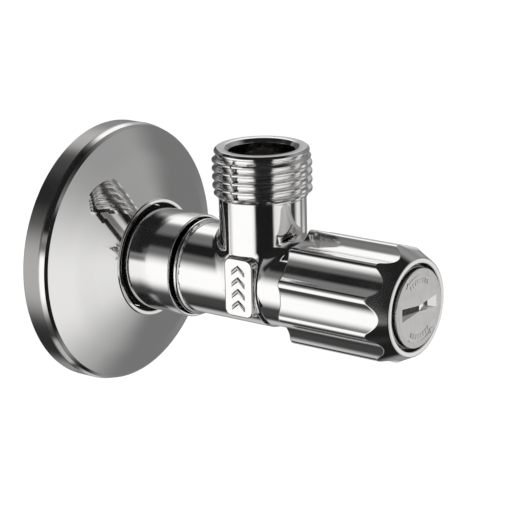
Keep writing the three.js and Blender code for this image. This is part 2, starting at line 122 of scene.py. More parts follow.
# Raised marks: chevrons on the body's panel, and an arrow with ticks on each half of the cap
CHEVRON = {"count": 4, "pitch": 2.5, "width": 3.4, "rise": 1.3, "stroke": 1.1, "proud": 0.3}
ARROW = {"radius": 7.0, "stroke": 0.4, "from": 56, "to": 124, "head": 1.3, "proud": 0.12,
         "sunk": 0.4, "overlap": 0.1}
TICKS = {"inside": 5.3, "outside": 6.3, "width": 0.4, "from": 58, "to": 122, "count": 8}
PAD_SUNK = 0.3

# Threads' fineness: points round a rod and along one turn
THREAD_SIDES = 160
THREAD_SAMPLES = 14

# Camera: angles in degrees, and places in mm as seen by the camera from the crossing of the valve's axes
CAMERA = {"azimuth": -52.95, "elevation": 16.4, "roll": -1.26, "distance": 487.2, "right": -1.45, "up": 4.32,
          "sensor": 36, "lens": 161.4, "clip": 0.01}

# What the metal reflects: soft panels and black flags round the valve, each laid over those before it.
# Azimuth in degrees from +X towards +Y, elevation, half width, half height, edge softness, brightness.
STUDIO_FILL = 0.28
STUDIO_PANELS = (
    (300, -20, 60, 50, 30, 0.4),
    (352, -15, 24, 45, 14, 0.2),
    (262, -22, 24, 30, 22, 0.9),
    (255, 48, 22, 14, 10, 0.08),
    (60, 4, 16, 14, 6, 0.03),
    (30, 18, 13, 11, 6, 0.5),
    (45, 44, 22, 18, 9, 1.1),
    (90, -56, 17, 14, 10, 0.03),
    (84, 0, 34, 26, 10, 0.1),
    (170, -66, 40, 18, 10, 0.06),
    (230, 84, 38, 30, 10, 0.012),
    (0, -90, 22, 22, 8, 0.015),
    (135, 45, 40, 20, 6, 0.012),
    (145, 24, 14, 9, 5, 0.15),
    (88, 58, 14, 8, 6, 0.2),
    (160, -13, 36, 25, 12, 1.12),
    (175, 12, 18, 6, 5, 0.2),
    (190, -40, 10, 14, 5, 0.02),
    (220, 0, 24, 75, 4, 0.012),
    (50, -44, 11, 9, 7, 0.55),
    (105, -69, 15, 5, 4, 0.5),
    (302, -19, 7, 7, 3, 0.05),
    (323, -16, 8, 11, 4, 0.82),
    (350, -21, 7, 5, 3, 1.2),
)

# Light on everything else, and the floor in metres
STUDIO_LIGHT = 1.1
FLOOR = {"reach": 40, "level": -0.8, "shade": 0.96}


def on_barrel(distance, radius, angle):
    """Row-frame points at an angle round the barrel's axis, counted from -X towards +Z."""
    return np.stack([-radius * np.cos(angle), -distance, radius * np.sin(angle)], -1)


def on_outlet(height, radius, angle):
    """Row-frame points at an angle round the outlet's axis, counted from -X towards -Y."""
    across = -OUTLET_FROM_WALL - radius * np.sin(angle)
    return np.stack([-radius * np.cos(angle), across, height], -1)


# Meshes


def mesh_object(name, points, faces):
    """A smooth-shaded mesh object from points in mm, closed, with its faces pointing out."""
    mesh = bpy.data.meshes.new(name)
    mesh.from_pydata((np.asarray(points) * MM).tolist(), [], np.asarray(faces).tolist())
    shape = bmesh.new()
    shape.from_mesh(mesh)
    bmesh.ops.remove_doubles(shape, verts=shape.verts, dist=2e-7)
    bmesh.ops.recalc_face_normals(shape, faces=shape.faces)
    shape.to_mesh(mesh)
    shape.free()
    made = bpy.data.objects.new(name, mesh)
    bpy.context.scene.collection.objects.link(made)
    smooth(made)
    return made


def smooth(piece, sharp_degrees=32):
    """Shades a mesh smooth, but for the edges that turn by more than an angle."""
    piece.data.shade_smooth()
    piece.data.set_sharp_from_angle(angle=math.radians(sharp_degrees))


def softened(outline, radius=0.15, steps=4, hold=0.06):
    """A closed outline of (distance, radius) with its corners rounded.

    A corner may state its own rounding as a third value. Corners on the axis stay. A point close to each
    end of a straight stretch holds its shading flat.
    """
    corners = [(np.array(c[:2], float), c[2] if len(c) > 2 else radius) for c in outline]
    points = []
    count = len(corners)
    for i, (corner, rounding) in enumerate(corners):
        before = corners[i - 1][0] - corner
        after = corners[(i + 1) % count][0] - corner
        reach_before, reach_after = np.linalg.norm(before), np.linalg.norm(after)
        on_axis = corner[1] < 1e-6
        if on_axis or rounding == 0:
            points.append(corner)
            continue
        before, after = before / reach_before, after / reach_after
        half_turn = math.acos(np.clip(-before @ after, -1, 1)) / 2
        reach = min(rounding * math.tan(half_turn), 0.4 * reach_before, 0.4 * reach_after)
        start, end = corner + before * reach, corner + after * reach
        points.append(start + before * min(hold, 0.08 * reach_before))
        for t in np.linspace(0, 1, steps + 1):
            points.append((1 - t) ** 2 * start + 2 * t * (1 - t) * corner + t * t * end)
        points.append(end + after * min(hold, 0.08 * reach_after))
    return np.array(points)


def ring_mesh(name, columns, angles, place=on_barrel):
    """A closed surface from one outline for each angle: columns[i][j] is (distance, radius)."""
    columns = np.asarray(columns, float)
    count, rows = columns.shape[:2]
    angles = np.broadcast_to(np.asarray(angles)[:, None], (count, rows))
    points = place(columns[..., 0], columns[..., 1], angles).reshape(-1, 3)
    closed = columns[0, 0, 1] > 1e-6
    i, j = np.meshgrid(np.arange(count), np.arange(rows if closed else rows - 1), indexing="ij")
    i_next, j_next = (i + 1) % count, (j + 1) % rows
    corners = [i * rows + j, i_next * rows + j, i_next * rows + j_next, i * rows + j_next]
    return mesh_object(name, points, np.stack(corners, -1).reshape(-1, 4))


def turned(name, outline, sides=144, place=on_barrel, **softening):
    """A solid of revolution. An outline that starts on the axis ends on it."""
    profile = softened(outline, **softening)
    angles = np.arange(sides) * 2 * math.pi / sides
    return ring_mesh(name, np.repeat(profile[None], sides, 0), angles, place)


def threaded_rod(name, thread, start, end, place, sense):
    """A rod with a round-crested right-hand male thread, cut back in a cone at each end.

    The sense is 1 where the place's angles run right-handed round the rod's axis, and -1 where they don't.
    """
    major, depth, pitch = thread["major"], thread["depth"], thread["pitch"]
    core = major - depth
    turns = math.ceil((end - start) / pitch) + 2
    rows = np.arange(turns * THREAD_SAMPLES) / THREAD_SAMPLES
    wave = thread["steepness"] * (1 - 4 * np.abs(rows % 1 - 0.5))
    crests = core + depth * (0.5 + 0.5 * np.sin(math.pi / 2 * np.clip(wave, -1, 1)))
    columns = []
    for i in range(THREAD_SIDES):
        distance = np.clip(start + pitch * (rows - 1 + sense * i / THREAD_SIDES), start, end)
        cut_back = core + np.minimum(distance - start, end - distance)
        radius = np.minimum(crests, np.maximum(core, cut_back))
        columns.append(np.concatenate([[[start, 0]], np.stack([distance, radius], -1), [[end, 0]]]))
    return ring_mesh(name, columns, np.arange(THREAD_SIDES) * 2 * math.pi / THREAD_SIDES, place)


def combine(piece, other, operation):
    """Joins another closed mesh to the piece, or cuts it away, and removes the other one."""
    change = piece.modifiers.new("combine", "BOOLEAN")
    change.object = other
    change.operation = operation
    change.solver = "MANIFOLD"
    evaluated = piece.evaluated_get(bpy.context.evaluated_depsgraph_get())
    made = bpy.data.meshes.new_from_object(evaluated)
    piece.modifiers.clear()
    piece.data = made
    bpy.data.objects.remove(other)


# The body's rounded outside as a distance field, in mm


def rounded_cylinder(across, middle_offset, radius, half_length, edge):
    """Distance to a cylinder with rounded rims, from the radial and lengthwise places."""
    side = across - radius + edge
    cap = np.abs(middle_offset) - half_length + edge
    outside = np.hypot(np.maximum(side, 0), np.maximum(cap, 0))
    return outside + np.minimum(np.maximum(side, cap), 0) - edge


def filleted(a, b, fillet):
    """The union of two distances with a fillet of that radius in the corner between them."""
    corner = np.hypot(np.maximum(fillet - a, 0), np.maximum(fillet - b, 0))
    return np.maximum(fillet, np.minimum(a, b)) - corner


def panel_distance(points):
    """The raised panel: a flat plate with round corners and softened edges."""
    edge, thickness = PANEL["edge"], PANEL["thickness"]
    across = np.abs(-points[..., 1] - PANEL["from_wall"]) - PANEL["width"] / 2 + PANEL["corner"]
    height = np.abs(points[..., 2] - PANEL["middle"]) - PANEL["height"] / 2 + PANEL["corner"]
    outline = np.hypot(np.maximum(across, 0), np.maximum(height, 0))
    outline = outline + np.minimum(np.maximum(across, height), 0) - PANEL["corner"]
    depth = np.abs(points[..., 0] + PANEL["face"] - thickness / 2) - thickness / 2
    side, face = outline + edge, depth + edge
    return np.hypot(np.maximum(side, 0), np.maximum(face, 0)) + np.minimum(np.maximum(side, face), 0) - edge


def body_distance(points):
    """Signed distance to the body's outside, without its threads and bores."""
    distance = -points[..., 1]
    across = np.hypot(points[..., 0], points[..., 2])

    def stretch(start, end, radius, edge):
        return rounded_cylinder(across, distance - (start + end) / 2, radius, (end - start) / 2, edge)

    core = stretch(INLET_THREAD_FOOT - 1, BODY_END, NOSE_RADIUS, edge=0.35)
    thick = stretch(BARREL_FROM, NOSE_FROM_WALL + 0.3, BARREL_RADIUS, edge=0.45)
    barrel = filleted(core, thick, FILLETS["barrel"])
    for start, end in COLLARS:
        barrel = np.minimum(barrel, stretch(start, end, COLLAR_RADIUS, edge=0.3))
    bead = np.hypot(across - BEAD["radius"], distance - BEAD["middle"]) - BEAD["round"]
    barrel = filleted(barrel, bead, FILLETS["bead"])
    neck_across = np.hypot(points[..., 0], points[..., 1] + OUTLET_FROM_WALL)
    neck_top = OUTLET_THREAD_FOOT + 1
    neck = rounded_cylinder(neck_across, points[..., 2] - neck_top / 2, NECK_RADIUS, neck_top / 2, edge=0.1)
    tee = filleted(barrel, neck, FILLETS["neck"])
    return filleted(tee, panel_distance(points), FILLETS["panel"])


def gradient(distance, points, step=0.01):
    """Unit outward direction of a distance field at each point."""
    slopes = []
    for axis in range(3):
        offset = np.zeros(3)
        offset[axis] = step
        slopes.append(distance(points + offset) - distance(points - offset))
    slopes = np.stack(slopes, -1)
    return slopes / np.maximum(np.linalg.norm(slopes, axis=-1, keepdims=True), 1e-12)


def surface_net(distance, low, high, cell):
    """A quad mesh on the zero level of a distance field, evened out and pulled onto the surface."""
    axes = [np.arange(a, b + cell, cell) for a, b in zip(low, high)]
    grid = np.stack(np.meshgrid(*axes, indexing="ij"), -1)
    inside = distance(grid) < 0
    cells = [n - 1 for n in inside.shape]
    filled = np.zeros(cells, int)
    for corner in np.ndindex(2, 2, 2):
        window = tuple(slice(c, c + n) for c, n in zip(corner, cells))
        filled += inside[window]
    crossed = (filled > 0) & (filled < 8)
    number = np.full(cells, -1)
    number[crossed] = np.arange(crossed.sum())
    points = np.argwhere(crossed) * cell + np.array(low) + cell / 2
    faces = []
    for axis in range(3):
        ahead = np.moveaxis(inside, axis, 0)
        ids = np.moveaxis(number, axis, 0)
        change = ahead[:-1, 1:-1, 1:-1] != ahead[1:, 1:-1, 1:-1]
        i, j, k = np.nonzero(change)
        faces.append(np.stack([ids[i, j, k], ids[i, j + 1, k], ids[i, j + 1, k + 1], ids[i, j, k + 1]], -1))
    faces = np.concatenate(faces)
    starts = faces.ravel()
    ends = np.roll(faces, -1, axis=1).ravel()
    for _ in range(6):
        points = points - distance(points)[:, None] * gradient(distance, points)
        total = np.zeros_like(points)
        shared = np.zeros(len(points))
        for a, b in ((starts, ends), (ends, starts)):
            np.add.at(total, a, points[b])
            np.add.at(shared, a, 1)
        points = total / shared[:, None]
    for _ in range(3):
        points = points - distance(points)[:, None] * gradient(distance, points)
    return points, faces


def field_normals(piece, distance):
    """Gives the faces that lie on a distance field its exact directions as their shading."""
    mesh = piece.data
    count = len(mesh.loops)
    vertex = np.zeros(count, int)
    mesh.loops.foreach_get("vertex_index", vertex)
    face_normal = np.zeros(len(mesh.polygons) * 3)
    mesh.polygons.foreach_get("normal", face_normal)
    sizes = np.zeros(len(mesh.polygons), int)
    mesh.polygons.foreach_get("loop_total", sizes)
    loop_face_normal = np.repeat(face_normal.reshape(-1, 3), sizes, axis=0)
    points = np.zeros(len(mesh.vertices) * 3)
    mesh.vertices.foreach_get("co", points)
    points = points.reshape(-1, 3) / MM
    direction = gradient(distance, points)
    on_field = np.abs(distance(points)) < 0.01
    agree = (direction[vertex] * loop_face_normal).sum(1) > 0.8
    chosen = np.where((on_field[vertex] & agree)[:, None], direction[vertex], 0.0)
    mesh.normals_split_custom_set(chosen.tolist())


# Pieces


def chevrons():
    """The raised chevrons on the panel, each from two ridges that meet in a tip towards the outlet."""
    def on_panel(x, y, proud):
        return (-proud, -PANEL["from_wall"] + x, y)

    column = (CHEVRON["count"] - 1) * CHEVRON["pitch"] + CHEVRON["rise"] + CHEVRON["stroke"]
    half, stroke, rise = CHEVRON["width"] / 2, CHEVRON["stroke"], CHEVRON["rise"]
    crest = 0.2 * stroke
    bars = []
    for i in range(CHEVRON["count"]):
        foot = PANEL["middle"] - column / 2 + i * CHEVRON["pitch"]
        for side in (-half, half):
            corners = [(side, foot), (side, foot + stroke), (0, foot + rise + stroke), (0, foot + rise)]
            end, tip = foot + stroke / 2, foot + rise + stroke / 2
            top_side = 0.85 * side
            top = [(top_side, end - crest), (top_side, end + crest), (0, tip + crest), (0, tip - crest)]
            bars.append(raised("chevron", corners, top, PANEL["face"], CHEVRON["proud"], on_panel))
    return bars


def outlet_rim():
    """The plain ring above the outlet's thread."""
    foot, radius = OUTLET_TOP - OUTLET_RIM["height"], OUTLET_RIM["radius"]
    chamfer = 0.5
    return turned("outlet_rim", [
        (foot, 0),
        (foot, PIPE_THREAD["major"] - PIPE_THREAD["depth"] - 0.1),
        (foot + 0.35, radius, 0.15),
        (OUTLET_TOP - chamfer, radius, 0.3),
        (OUTLET_TOP, radius - chamfer, 0.3),
        (OUTLET_TOP, 0),
    ], place=on_outlet, steps=6)


def outlet_waterway():
    """The outlet's bore, from its countersunk mouth down to the barrel's axis."""
    return turned("outlet_waterway", [
        (0, 0),
        (0, LOWER_BORE, 0),
        (14.8, LOWER_BORE),
        (16.2, OUTLET_BORE),
        (OUTLET_TOP - 0.85, OUTLET_BORE, 0.1),
        (OUTLET_TOP - 0.1, OUTLET_MOUTH - 0.15, 0.1),
        (OUTLET_TOP + 0.3, OUTLET_MOUTH + 0.85, 0),
        (OUTLET_TOP + 0.3, 0),
    ], place=on_outlet)


def barrel_waterway():
    """The barrel's hollow: inlet bore, seat with its raised lip, chamber and the headwork's hole."""
    return turned("barrel_waterway", [
        (INLET_END - 1, 0),
        (INLET_END - 1, INLET_BORE + 0.8, 0),
        (INLET_END + 0.6, INLET_BORE),
        (SEAT["from"] - 1.5, INLET_BORE),
        (SEAT["from"], SEAT["bore"]),
        (SEAT["face"], SEAT["bore"], 0.2),
        (SEAT["face"], SEAT["lip"], 0.2),
        (SEAT["trough"], SEAT["lip"] + 0.3),
        (SEAT["trough"], CHAMBER["radius"]),
        (CHAMBER["hole_from"], CHAMBER["radius"]),
        (CHAMBER["hole_from"], CHAMBER["hole"]),
        (BODY_END + 1, CHAMBER["hole"], 0),
        (BODY_END + 1, 0),
    ])


def valve_body():
    """The forging: its blended outside, the raised marks, both threads and the waterways."""
    reach = COLLAR_RADIUS + 0.3
    low = (-PANEL["face"] - 0.7, -BODY_END - 0.6, -reach)
    high = (reach, -INLET_THREAD_FOOT + 1.6, OUTLET_THREAD_FOOT + 1.6)
    points, faces = surface_net(body_distance, low, high, NET_CELL)
    body = mesh_object("valve_body_fine", points, faces)
    outlet = threaded_rod("outlet_thread", PIPE_THREAD, OUTLET_THREAD_FOOT, OUTLET_TOP - 1, on_outlet, 1)
    inlet = threaded_rod("inlet_thread", PIPE_THREAD, INLET_END, INLET_THREAD_FOOT, on_barrel, -1)
    for added in (outlet, outlet_rim(), *chevrons(), inlet):
        combine(body, added, "UNION")
    for hollow in (outlet_waterway(), barrel_waterway()):
        combine(body, hollow, "DIFFERENCE")
    smooth(body)
    field_normals(body, body_distance)
    return body


def inlet_sleeve():
    """The thin tube over the barrel."""
    inside = SLEEVE_RADIUS - 0.55
    return turned("inlet_sleeve_fine", [
        (SLEEVE_FROM, inside, 0.1),
        (SLEEVE_FROM, SLEEVE_RADIUS, 0.1),
        (SLEEVE_TO, SLEEVE_RADIUS, 0.5),
        (SLEEVE_TO, inside, 0.1),
    ])


def inlet_seal_ring():
    """The soft ring behind the inlet's thread."""
    low, high, outside = along("inlet_seal_ring")
    inside = PIPE_THREAD["major"] - PIPE_THREAD["depth"]
    outline = [(low, inside), (low, outside), (high, outside), (high, inside)]
    return turned("inlet_seal_ring_fine", outline, radius=0.3)


def escutcheon():
    """The pressed wall plate: rim, bead, low dome, and a lip that curls in towards the sleeve."""
    sheet = PLATE_SHEET
    curl_foot = PLATE_LIP - LIP_CURL["length"]
    return turned("escutcheon_fine", [
        (PLATE_FROM, PLATE_RIM, 0.2),
        (4.1, PLATE_RIM, 0.6),
        (5.6, 28.2, 0.15),
        (6.15, 27.6, 0.1),
        (8.9, 22.4, 30),
        (10.8, 17.9, 30),
        (12.98, 12.95, 0.15),
        (PLATE_LIP, 12.8, 0.2),
        (PLATE_LIP, LIP_CURL["radius"], 0.25),
        (curl_foot, LIP_CURL["radius"], 0.2),
        (curl_foot, PLATE_HOLE, 0.1),
        (9.4, PLATE_HOLE, 0.2),
        (9.4, PLATE_HOLE + sheet, 0.2),
        (12.5 - sheet, PLATE_HOLE + sheet, 0.3),
        (10.8 - sheet, 17.6, 30),
        (8.9 - sheet, 22.0, 30),
        (6.8 - sheet, 26.3, 0.8),
        (4.2, PLATE_RIM - sheet, 0.8),
        (PLATE_FROM, PLATE_RIM - sheet, 0.2),
    ], sides=256, steps=6)


def escutcheon_grip_ring():
    """The ring in the plate's hole, with a soft front edge towards the sleeve."""
    inside, outside = SLEEVE_RADIUS + GRIP_RING["clear"], GRIP_RING["outside"]
    back, front = GRIP_RING["from"], GRIP_RING["to"]
    return turned("escutcheon_grip_ring_fine", [
        (back, inside),
        (back, outside),
        (front, outside, 0.3),
        (front, outside - 0.5, 0.2),
        (front - 0.3, inside, 0.2),
    ])


def unit(angle):
    """The direction of an angle in a plane."""
    return np.array([math.cos(angle), math.sin(angle)])


def flute_section():
    """The knob's outer section as (angle, radius), from round flutes between soft narrow lands."""
    pitch = 2 * math.pi / FLUTES
    land_half = math.radians(LAND_DEGREES) / 2
    corner = KNOB_RADIUS * unit(pitch / 2 - land_half)
    drop = corner[0] - FLUTE_BOTTOM
    bend_radius = (corner[1] ** 2 + drop ** 2) / (2 * drop)
    reach = FLUTE_SHARE * math.asin(corner[1] / bend_radius)
    bends = reach * np.linspace(-1, 1, 25)[1:-1]
    flute = np.stack([FLUTE_BOTTOM + bend_radius * (1 - np.cos(bends)), bend_radius * np.sin(bends)], -1)
    ridge = unit(pitch / 2)
    flute_end = flute[-1]
    next_flute = 2 * (flute_end @ ridge) * ridge - flute_end
    next_corner = KNOB_RADIUS * unit(pitch / 2 + land_half)
    t = np.linspace(0, 1, 13)[1:-1, None]
    land = ((1 - t) ** 3 * flute_end + 3 * t * (1 - t) ** 2 * corner
            + 3 * t * t * (1 - t) * next_corner + t ** 3 * next_flute)
    one = np.concatenate([flute, land])
    angles = np.arctan2(one[:, 1], one[:, 0])
    radii = np.hypot(one[:, 0], one[:, 1])
    turns = np.arange(FLUTES) * pitch
    return (turns[:, None] + angles[None]).ravel(), np.tile(radii, FLUTES)


def hexagon_radius(angle, flats):
    """Distance from the centre to a hexagon's side at an angle."""
    sixth = math.pi / 3
    return flats / 2 / np.cos((angle + sixth / 2) % sixth - sixth / 2)


def handle():
    """The fluted knob: its flutes run out on the front cone, and a web holds the hub's hexagon."""
    slope = (KNOB_RADIUS - KNOB_RIM_RADIUS) / (KNOB_RIM - KNOB_CONE_FROM)
    columns = []
    angles, radii = flute_section()
    for angle, radius in zip(angles, radii):
        cone_from = KNOB_CONE_FROM + (KNOB_RADIUS - radius) / slope
        hexagon = float(hexagon_radius(angle, KNOB_WEB_HEX))
        columns.append(softened([
            (KNOB_BACK, KNOB_CAVITY, 0.15),
            (KNOB_BACK, radius, 0.45),
            (cone_from, radius, 0.8),
            (KNOB_RIM, KNOB_RIM_RADIUS, 0.3),
            (KNOB_RIM, KNOB_RECESS, 0.2),
            (KNOB_WEB[1], KNOB_RECESS, 0.2),
            (KNOB_WEB[1], hexagon, 0.1),
            (KNOB_WEB[0], hexagon, 0.1),
            (KNOB_WEB[0], KNOB_CAVITY, 0.3),
        ]))
    return ring_mesh("handle_fine", columns, angles)


def wedge(name, points):
    """The convex solid round a few points in mm."""
    mesh = bpy.data.meshes.new(name)
    shape = bmesh.new()
    for point in points:
        shape.verts.new(Vector(point) * MM)
    hull = bmesh.ops.convex_hull(shape, input=shape.verts)
    bmesh.ops.delete(shape, geom=[g for g in hull["geom_unused"] + hull["geom_interior"]], context="VERTS")
    bmesh.ops.recalc_face_normals(shape, faces=shape.faces)
    shape.to_mesh(mesh)
    shape.free()
    made = bpy.data.objects.new(name, mesh)
    bpy.context.scene.collection.objects.link(made)
    return made


def slot_ramp(side):
    """One ramp of the cap's screwdriver recess, wider and deeper away from the middle, with a sloped end."""
    above, floor = CAP_FACE + 0.5, CAP_FACE - SLOT_RAMPS["depth"]
    reach = SLOT_RAMPS["reach"] * side
    points = []
    for half in (-0.5, 0.5):
        waist, end = half * SLOT_RAMPS["waist_width"], half * SLOT_RAMPS["end_width"]
        for distance in (above, CAP_FACE):
            points.append((-SLOT_RAMPS["overlap"] * side, -distance, waist))
            points.append((reach, -distance, end))
        points.append((reach - SLOT_RAMPS["end_slope"] * side, -floor, SLOT_RAMPS["floor_share"] * end))
    return wedge("slot_ramp", points)


def raised(name, corners, top, base, proud, place):
    """A low convex pad with slanted sides, from the corners of its foot and of its top.

    The corners lie in a plane, and place turns them into points.
    """
    return wedge(name, [place(x, y, base - PAD_SUNK) for x, y in corners]
                 + [place(x, y, base) for x, y in corners]
                 + [place(x, y, base + proud) for x, y in top])


def shrunk(corners, share=0.8):
    """The corners drawn in towards their middle."""
    corners = np.array(corners, float)
    return corners.mean(0) + (corners - corners.mean(0)) * share


def arc_bar(name, radius, width, start, end, low, high, steps=32):
    """A bar bent round the barrel's axis between two angles, in degrees."""
    angles = np.radians(np.linspace(start, end, steps + 1))
    section = [(low, radius - width / 2), (low, radius + width / 2),
               (high, radius + width / 2 - 0.1), (high, radius - width / 2 + 0.1)]
    points = np.concatenate([on_barrel(np.full_like(angles, d), r, angles) for d, r in section])
    count = steps + 1
    faces = []
    for k in range(4):
        for i in range(steps):
            a, b = k * count + i, (k + 1) % 4 * count + i
            faces.append((a, a + 1, b + 1, b))
    for i in (0, steps):
        faces.append(tuple(k * count + i for k in range(4)))
    return mesh_object(name, points, faces)


def cap_mark(turn):
    """The opening arrow with its ticks on one half of the cap, turned by an angle in degrees."""
    def on_cap(x, y, distance):
        angle, radius = math.atan2(y, x) + math.radians(turn), math.hypot(x, y)
        return tuple(on_barrel(distance, radius, angle))

    def pad(name, corners):
        return raised(name, corners, shrunk(corners), CAP_FACE, ARROW["proud"], on_cap)

    marks = [arc_bar("arrow", ARROW["radius"], ARROW["stroke"], ARROW["from"] + turn, ARROW["to"] + turn,
                     CAP_FACE - ARROW["sunk"], CAP_FACE + ARROW["proud"])]
    outward = unit(math.radians(ARROW["from"]))
    along_arc = np.array([outward[1], -outward[0]])
    foot = ARROW["radius"] * outward - ARROW["overlap"] * along_arc
    half = ARROW["head"] / 2
    marks.append(pad("arrow_head", [foot + half * outward, foot - half * outward,
                                    foot + ARROW["head"] * along_arc]))
    for angle in np.radians(np.linspace(TICKS["from"], TICKS["to"], TICKS["count"])):
        outward = unit(angle)
        across = np.array([-outward[1], outward[0]]) * TICKS["width"] / 2
        inner, outer = TICKS["inside"] * outward, TICKS["outside"] * outward
        marks.append(pad("tick", [inner - across, outer - across, outer + across, inner + across]))
    return marks


def handle_cap():
    """The snap-in cap: a hollow skirt behind, and its marks and screwdriver recess in front."""
    inner, outer = CAP_WIDEST - CAP_SKIRT["wall"], CAP_WIDEST - CAP_SKIRT["lip_proud"]
    cap = turned("handle_cap_fine", [
        (CAP_BACK, 0),
        (CAP_BACK, inner),
        (CAP_SKIRT_FROM, inner),
        (CAP_SKIRT_FROM, CAP_WIDEST),
        (CAP_SKIRT_FROM + CAP_SKIRT["lip_height"], outer),
        (CAP_BACK, outer),
        (CAP_BACK + 0.2, CAP_RADIUS),
        (CAP_FACE - 0.1, CAP_RADIUS, 0.2),
        (CAP_FACE, CAP_RADIUS - 1.2, 2),
        (CAP_FACE, 0),
    ], sides=192, steps=8)
    for mark in cap_mark(0) + cap_mark(180):
        combine(cap, mark, "UNION")
    for side in (1, -1):
        combine(cap, slot_ramp(side), "DIFFERENCE")
    smooth(cap, 14)
    return cap


# Finishes


class Finish:
    """A procedural material in the making: its node tree, its shader and the nodes that drive it."""

    def __init__(self, name, colour, metallic, roughness):
        self.material = bpy.data.materials.new(name)
        self.material.use_nodes = True
        self.nodes = self.material.node_tree.nodes
        self.links = self.material.node_tree.links
        self.shader = self.nodes["Principled BSDF"]
        self.shader.inputs["Base Color"].default_value = (*colour, 1)
        self.shader.inputs["Metallic"].default_value = metallic
        self.shader.inputs["Roughness"].default_value = roughness
        self.place = self.nodes.new("ShaderNodeTexCoord").outputs["Object"]
        self.colour, self.roughness, self.height = (*colour, 1), roughness, None

    def noise(self, grain, stretch=(1, 1, 1), place=None, detail=2):
        """Noise from 0 to 1 with grains of a size in mm, drawn out along the axes."""
        mapping = self.nodes.new("ShaderNodeMapping")
        mapping.inputs["Scale"].default_value = [1 / (grain * MM * s) for s in stretch]
        self.links.new(place or self.place, mapping.inputs["Vector"])
        texture = self.nodes.new("ShaderNodeTexNoise")
        texture.inputs["Scale"].default_value = 1
        texture.inputs["Detail"].default_value = detail
        self.links.new(mapping.outputs[0], texture.inputs["Vector"])
        return texture.outputs["Fac"]

    def ramp(self, value, start, end, low=0.0, high=1.0):
        """A value's stretch from start to end, spread smoothly from low to high."""
        node = self.nodes.new("ShaderNodeMapRange")
        node.interpolation_type = "SMOOTHSTEP"
        self.links.new(value, node.inputs["Value"])
        for name, number in (("From Min", start), ("From Max", end), ("To Min", low), ("To Max", high)):
            node.inputs[name].default_value = number
        return node.outputs[0]

    def round_the_barrel(self):
        """Coordinates in metres that run outwards, round and along the barrel, and the radius alone."""
        split = self.nodes.new("ShaderNodeSeparateXYZ")
        self.links.new(self.place, split.inputs[0])
        x, y, z = split.outputs
        squares = [maths(self.nodes, self.links, "MULTIPLY", v, v) for v in (x, z)]
        radius = maths(self.nodes, self.links, "SQRT", maths(self.nodes, self.links, "ADD", *squares))
        angle = maths(self.nodes, self.links, "ARCTAN2", z, x)
        # The way round is measured at a radius of 10 mm
        arc = maths(self.nodes, self.links, "MULTIPLY", angle, 10 * MM)
        joined = self.nodes.new("ShaderNodeCombineXYZ")
        for value, socket in zip((radius, arc, y), joined.inputs):
            self.links.new(value, socket)
        return joined.outputs[0], radius

    def tint(self, mask, colour):
        """Moves the colour towards another one where the mask is."""
        self.colour = mix(self.nodes, self.links, mask, self.colour, (*colour, 1))
        self.links.new(self.colour, self.shader.inputs["Base Color"])

    def dull(self, mask, amount):
        """Adds to the roughness where the mask is."""
        extra = maths(self.nodes, self.links, "MULTIPLY", mask, amount)
        self.roughness = maths(self.nodes, self.links, "ADD", self.roughness, extra)
        self.links.new(self.roughness, self.shader.inputs["Roughness"])

    def relief(self, mask, depth):
        """Adds relief of a depth in mm."""
        lift = maths(self.nodes, self.links, "MULTIPLY", mask, depth)
        if self.height is None:
            self.height = lift
            bump = self.nodes.new("ShaderNodeBump")
            bump.inputs["Distance"].default_value = MM
            self.links.new(bump.outputs[0], self.shader.inputs["Normal"])
            self.bump = bump
        else:
            self.height = maths(self.nodes, self.links, "ADD", self.height, lift)
        self.links.new(self.height, self.bump.inputs["Height"])


def chrome(name="chrome", roughness=0.045):
    """Bright chrome plate: faint orange peel, soft wiping marks and a few hairline scratches."""
    finish = Finish(name, (0.88, 0.873, 0.868), 1.0, roughness)
    finish.dull(finish.ramp(finish.noise(9, detail=4), 0.42, 0.68), 0.05)
    hairlines = finish.ramp(finish.noise(0.14, (1, 40, 1.6), detail=1), 0.7, 0.76)
    sparse = finish.ramp(finish.noise(7), 0.5, 0.62)
    scratches = maths(finish.nodes, finish.links, "MULTIPLY", hairlines, sparse)
    finish.dull(scratches, 0.16)
    finish.relief(finish.noise(4.5, detail=1), 0.006)
    finish.relief(scratches, -0.0008)
    return finish.material


def forged_chrome():
    """Chrome over the unpolished faces of the raised chevrons: duller, with the forging's grain."""
    finish = Finish("chrome_forged", (0.6, 0.595, 0.59), 1.0, 0.3)
    grain = finish.noise(0.2, detail=3)
    finish.dull(finish.ramp(grain, 0.3, 0.7), 0.15)
    finish.relief(grain, 0.02)
    return finish.material


def plate_chrome():
    """Chrome on pressed sheet: softer, with fine turning marks, a brushed rim, and painted shade that
    darkens the rim's side.
    """
    finish = Finish("plate_chrome", (0.86, 0.852, 0.847), 1.0, 0.03)
    rings, radius = finish.round_the_barrel()
    marks = finish.noise(0.12, (1, 60, 1), rings)
    finish.dull(finish.ramp(marks, 0.35, 0.75), 0.015)
    finish.dull(finish.ramp(finish.noise(11, detail=4), 0.4, 0.7), 0.03)
    rim = finish.ramp(radius, (PLATE_RIM - 0.15) * MM, (PLATE_RIM - 0.04) * MM)
    finish.dull(rim, 0.17)
    # Painted shade: the rim's side is darkened in colour; only the added roughness above is its brushing
    finish.tint(rim, (0.38, 0.37, 0.365))
    finish.relief(marks, 0.0003)
    finish.relief(finish.noise(8, detail=1), 0.006)
    return finish.material


def satin_silver():
    """The cap's satin silver coat: a fine even grain."""
    finish = Finish("silver_cap", (0.9, 0.89, 0.88), 1.0, 0.33)
    grain = finish.noise(0.16, detail=3)
    finish.dull(finish.ramp(grain, 0.3, 0.7), 0.08)
    finish.tint(finish.ramp(finish.noise(2.5, detail=4), 0.45, 0.75), (0.82, 0.81, 0.8))
    finish.relief(grain, 0.006)
    return finish.material


